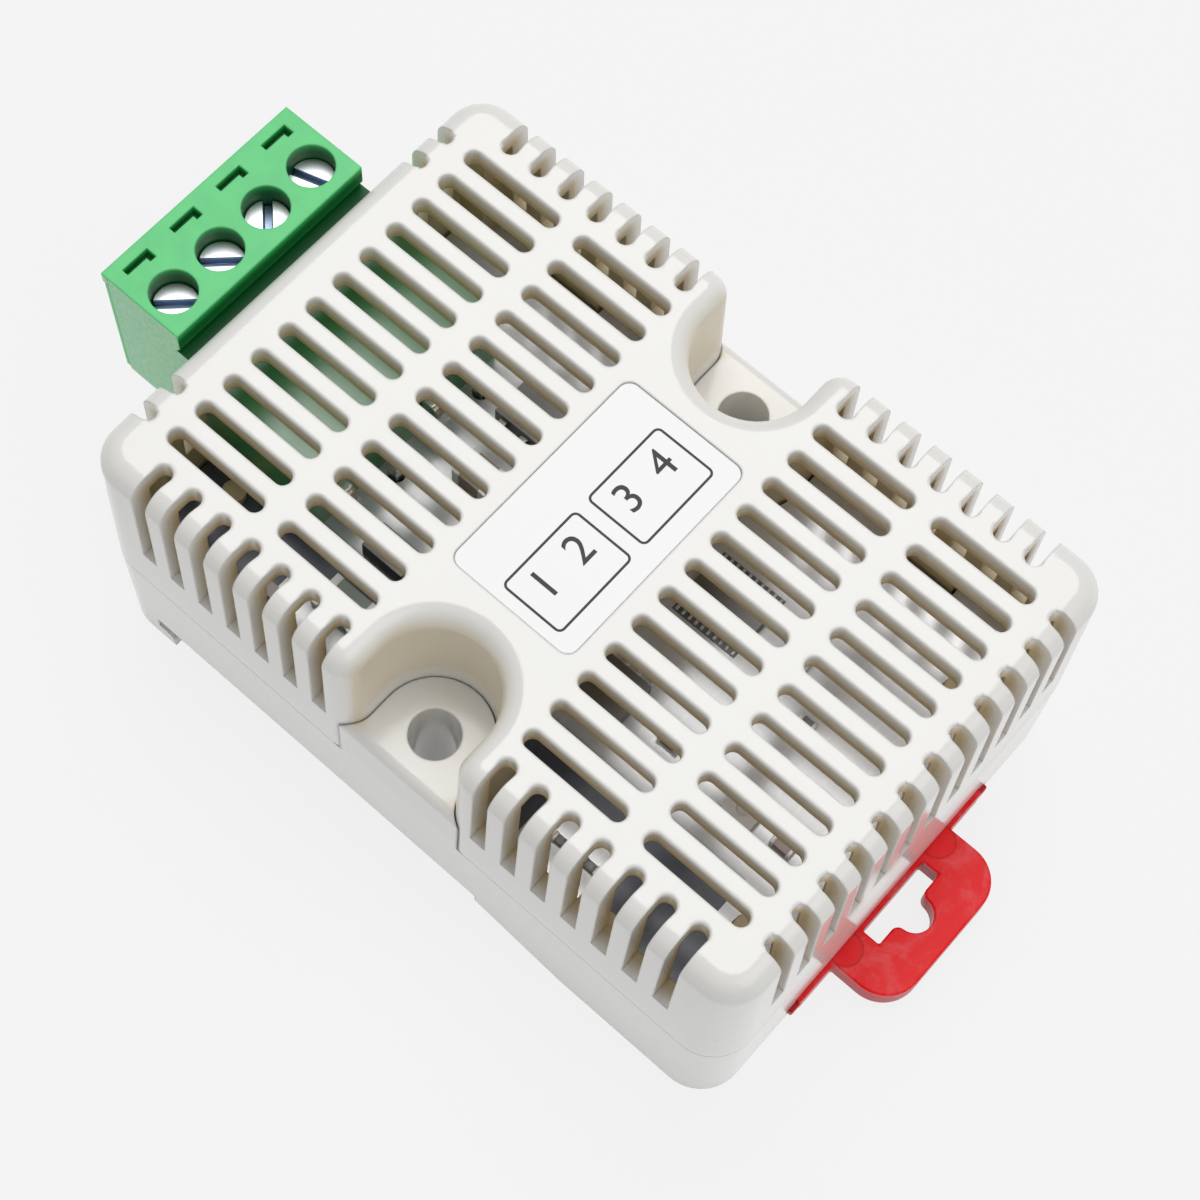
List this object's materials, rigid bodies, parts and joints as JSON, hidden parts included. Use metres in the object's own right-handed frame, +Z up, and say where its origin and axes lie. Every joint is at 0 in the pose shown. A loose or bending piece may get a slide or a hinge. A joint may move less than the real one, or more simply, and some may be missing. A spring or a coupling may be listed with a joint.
{
  "type": "temperature humidity sensor",
  "caption": "Vented box sensor for a mounting rail or wall, with a removable screw-terminal plug, two screw ears and a sliding red rail latch.",
  "frame": {"origin": "on the plane of the feet, under the middle of the whole outline", "axes": "+X along the case towards the rail latch, +Y across the case, +Z up out of the vented top"},
  "size_m": [0.0808, 0.0454, 0.0285],
  "materials": {
    "case_plastic": "smooth off-white moulded plastic",
    "latch_plastic": "red moulded plastic",
    "label_stock": "white label",
    "plug_plastic": "green moulded plastic",
    "board_laminate": "dark solder mask",
    "chip_mould": "black moulding compound",
    "sensor_mould": "pale sensor package",
    "capacitor_ceramic": "brown ceramic with tinned ends",
    "resistor_film": "black film with tinned ends",
    "fuse_polymer": "green polymer with tinned ends",
    "zinc_steel": "bright zinc plate",
    "tinned_copper": "tinned"
  },
  "bodies": {
    "root": {"top_cover": "case_plastic", "base_shell": "case_plastic", "front_label": "label_stock", "circuit_board": "board_laminate", "microcontroller": "chip_mould", "bus_transceiver": "chip_mould", "climate_sensor": "sensor_mould", "voltage_regulator": "chip_mould", "input_capacitor": "capacitor_ceramic", "surge_diode": "chip_mould", "fuse": "fuse_polymer", "chip_resistors": "resistor_film", "chip_capacitors": "capacitor_ceramic", "header_housing": "plug_plastic", "header_pins": "tinned_copper"},
    "latch": {"rail_latch": "latch_plastic"},
    "plug": {"plug_body": "plug_plastic", "plug_front": "plug_plastic", "plug_contacts": "tinned_copper"},
    "screw_1": {"terminal_screw_1": "zinc_steel"},
    "clamp_1": {"wire_clamp_1": "zinc_steel"},
    "screw_2": {"terminal_screw_2": "zinc_steel"},
    "clamp_2": {"wire_clamp_2": "zinc_steel"},
    "screw_3": {"terminal_screw_3": "zinc_steel"},
    "clamp_3": {"wire_clamp_3": "zinc_steel"},
    "screw_4": {"terminal_screw_4": "zinc_steel"},
    "clamp_4": {"wire_clamp_4": "zinc_steel"}
  },
  "joints": [
    {"name": "latch_slide", "type": "slide", "parent": "root", "child": "latch", "axis": [1, 0, 0], "range_m": [0, 0.004], "stiffness_N_per_m": 1500, "springref_m": -0.0005},
    {"name": "plug_slide", "type": "slide", "parent": "root", "child": "plug", "axis": [-1, 0, 0], "range_m": [0, 0.012]},
    {"name": "clamp_1_lift", "type": "slide", "parent": "plug", "child": "clamp_1", "axis": [0, 0, 1], "range_m": [0, 0.00225]},
    {"name": "screw_1_turn", "type": "hinge", "parent": "plug", "child": "screw_1", "pos_m": [-0.03525, -0.00792, 0.025], "axis": [0, 0, -1], "range_deg": [0, 1620.5]},
    {"name": "clamp_2_lift", "type": "slide", "parent": "plug", "child": "clamp_2", "axis": [0, 0, 1], "range_m": [0, 0.00225]},
    {"name": "screw_2_turn", "type": "hinge", "parent": "plug", "child": "screw_2", "pos_m": [-0.03525, -0.00284, 0.025], "axis": [0, 0, -1], "range_deg": [0, 1620.5]},
    {"name": "clamp_3_lift", "type": "slide", "parent": "plug", "child": "clamp_3", "axis": [0, 0, 1], "range_m": [0, 0.00225]},
    {"name": "screw_3_turn", "type": "hinge", "parent": "plug", "child": "screw_3", "pos_m": [-0.03525, 0.00224, 0.025], "axis": [0, 0, -1], "range_deg": [0, 1620.5]},
    {"name": "clamp_4_lift", "type": "slide", "parent": "plug", "child": "clamp_4", "axis": [0, 0, 1], "range_m": [0, 0.00225]},
    {"name": "screw_4_turn", "type": "hinge", "parent": "plug", "child": "screw_4", "pos_m": [-0.03525, 0.00732, 0.025], "axis": [0, 0, -1], "range_deg": [0, 1620.5]}
  ],
  "couplings": [
    {"joint": "screw_1_turn", "follows": "clamp_1_lift", "rad_per_m": 12566},
    {"joint": "screw_2_turn", "follows": "clamp_2_lift", "rad_per_m": 12566},
    {"joint": "screw_3_turn", "follows": "clamp_3_lift", "rad_per_m": 12566},
    {"joint": "screw_4_turn", "follows": "clamp_4_lift", "rad_per_m": 12566}
  ]
}
